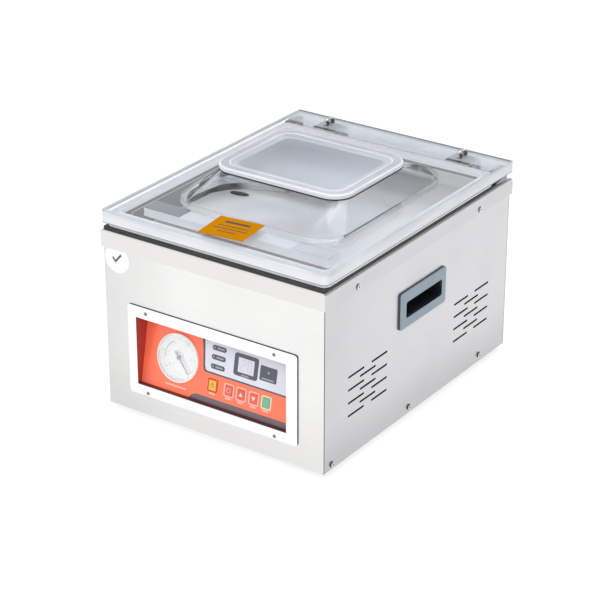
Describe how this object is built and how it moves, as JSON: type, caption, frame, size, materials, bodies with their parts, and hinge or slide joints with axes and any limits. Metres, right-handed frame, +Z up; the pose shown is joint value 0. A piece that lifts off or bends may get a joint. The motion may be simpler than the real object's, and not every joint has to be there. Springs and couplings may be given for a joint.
{
  "type": "vacuum packing machine",
  "caption": "Table-top chamber vacuum packing machine: steel cabinet with a sunken control panel, hinged clear domed lid, lifting seal bar and vacuum pump inside.",
  "frame": {"origin": "on the surface the feet stand on, under the middle of the machine's outline", "axes": "+X to the operator's right, +Y from the control panel to the rear (the longest side), +Z up"},
  "size_m": [0.333, 0.431, 0.302],
  "materials": {
    "stainless": "satin brushed",
    "deck_steel": "satin brushed",
    "chamber_steel": "polished",
    "screw_steel": "bright",
    "acrylic": "clear polished",
    "gasket_rubber": "matt",
    "foot_rubber": "matt",
    "mount_rubber": "matt",
    "handle_plastic": "fine grain",
    "bezel_plastic": "gloss",
    "tray_red": "gloss",
    "fascia_red": "satin overlay",
    "gauge_shell": "gloss white",
    "dial_face": "matt white",
    "gauge_glass": "clear",
    "needle_black": "satin",
    "display_surround": "satin",
    "display_face": "tinted window",
    "lamp": "diffused",
    "circuit_board": "solder mask",
    "key_orange": "satin",
    "key_red": "satin",
    "key_green": "satin",
    "key_slate": "satin",
    "hinge_steel": "satin",
    "nut_chrome": "bright",
    "holder_white": "satin",
    "silicone": "matt",
    "pad_foam": "matt",
    "bar_aluminium": "milled",
    "heater_alloy": "rolled",
    "ptfe": "woven glass cloth",
    "port_black": "satin",
    "hose": "clear reinforced",
    "valve_brass": "machined",
    "pump_iron": "painted casting",
    "motor_paint": "satin paint",
    "filter_paint": "satin paint",
    "fan_plastic": "satin",
    "transformer_core": "varnished laminations",
    "inlet_black": "satin"
  },
  "bodies": {
    "cabinet": {"base_tray": "stainless", "bezel": "bezel_plastic", "bezel_screws": "screw_steel", "cabinet_screws": "screw_steel", "chamber_pan": "chamber_steel", "control_board": "circuit_board", "control_fascia": "fascia_red", "control_tray": "tray_red", "deck_frame": "deck_steel", "display_frame": "display_surround", "display_module": "display_face", "exhaust_filter": "filter_paint", "foot_screws": "screw_steel", "front_panel": "stainless", "gauge_case": "gauge_shell", "gauge_dial": "dial_face", "gauge_lens": "gauge_glass", "handle_left": "handle_plastic", "handle_right": "handle_plastic", "hinge_bracket_left": "hinge_steel", "hinge_bracket_right": "hinge_steel", "hinge_pins": "hinge_steel", "indicator_lamps": "lamp", "lid_gasket": "gasket_rubber", "lift_cylinders": "bar_aluminium", "oil_sight_glass": "gauge_glass", "power_inlet": "inlet_black", "pump_motor": "motor_paint", "pump_mounts": "mount_rubber", "rear_panel": "stainless", "rubber_feet": "foot_rubber", "seal_transformer": "transformer_core", "side_panel_left": "stainless", "side_panel_right": "stainless", "suction_fitting": "port_black", "vacuum_hoses": "hose", "vacuum_pump": "pump_iron", "vacuum_valve": "valve_brass"},
    "lid": {"acrylic_lid": "acrylic", "lid_frame": "acrylic", "hinge_leaf_left": "hinge_steel", "hinge_leaf_right": "hinge_steel", "hinge_bolts": "screw_steel", "hinge_cap_nuts": "nut_chrome", "strip_holder": "holder_white", "silicone_strip": "silicone", "holder_pads": "pad_foam"},
    "seal_bar_carrier": {"seal_bar": "bar_aluminium", "heating_wire": "heater_alloy", "ptfe_tape": "ptfe", "lift_pins": "hinge_steel"},
    "needle": {"gauge_needle": "needle_black"},
    "motor_shaft": {"motor_fan": "fan_plastic"},
    "key_power_cap": {"key_power": "key_orange"},
    "key_stop_cap": {"key_stop": "key_red"},
    "key_up_cap": {"key_up": "key_red"},
    "key_down_cap": {"key_down": "key_red"},
    "key_start_cap": {"key_start": "key_green"},
    "key_select_cap": {"key_select": "key_slate"}
  },
  "joints": [
    {"name": "lid_hinge", "type": "hinge", "parent": "cabinet", "child": "lid", "pos_m": [0, 0.206, 0.2505], "axis": [-1, 0, 0], "range_deg": [0, 75]},
    {"name": "seal_bar_lift", "type": "slide", "parent": "cabinet", "child": "seal_bar_carrier", "axis": [0, 0, 1], "range_m": [0, 0.005]},
    {"name": "gauge_needle_turn", "type": "hinge", "parent": "cabinet", "child": "needle", "pos_m": [-0.0627, -0.1985, 0.09302], "axis": [0, -0.9806, 0.1961], "range_deg": [0, 270], "stiffness_Nm_per_rad": 0.001, "springref_deg": -8.59},
    {"name": "motor_spin", "type": "hinge", "parent": "cabinet", "child": "motor_shaft", "pos_m": [0.1, 0.1, 0.082], "axis": [1, 0, 0], "continuous": true},
    {"name": "key_power_press", "type": "slide", "parent": "cabinet", "child": "key_power_cap", "axis": [0, 0.9806, -0.1961], "range_m": [0, 0.0006], "stiffness_N_per_m": 800, "springref_m": -0.0003},
    {"name": "key_stop_press", "type": "slide", "parent": "cabinet", "child": "key_stop_cap", "axis": [0, 0.9806, -0.1961], "range_m": [0, 0.0006], "stiffness_N_per_m": 800, "springref_m": -0.0003},
    {"name": "key_up_press", "type": "slide", "parent": "cabinet", "child": "key_up_cap", "axis": [0, 0.9806, -0.1961], "range_m": [0, 0.0006], "stiffness_N_per_m": 800, "springref_m": -0.0003},
    {"name": "key_down_press", "type": "slide", "parent": "cabinet", "child": "key_down_cap", "axis": [0, 0.9806, -0.1961], "range_m": [0, 0.0006], "stiffness_N_per_m": 800, "springref_m": -0.0003},
    {"name": "key_start_press", "type": "slide", "parent": "cabinet", "child": "key_start_cap", "axis": [0, 0.9806, -0.1961], "range_m": [0, 0.0006], "stiffness_N_per_m": 800, "springref_m": -0.0003},
    {"name": "key_select_press", "type": "slide", "parent": "cabinet", "child": "key_select_cap", "axis": [0, 0.9806, -0.1961], "range_m": [0, 0.0006], "stiffness_N_per_m": 800, "springref_m": -0.0003}
  ]
}
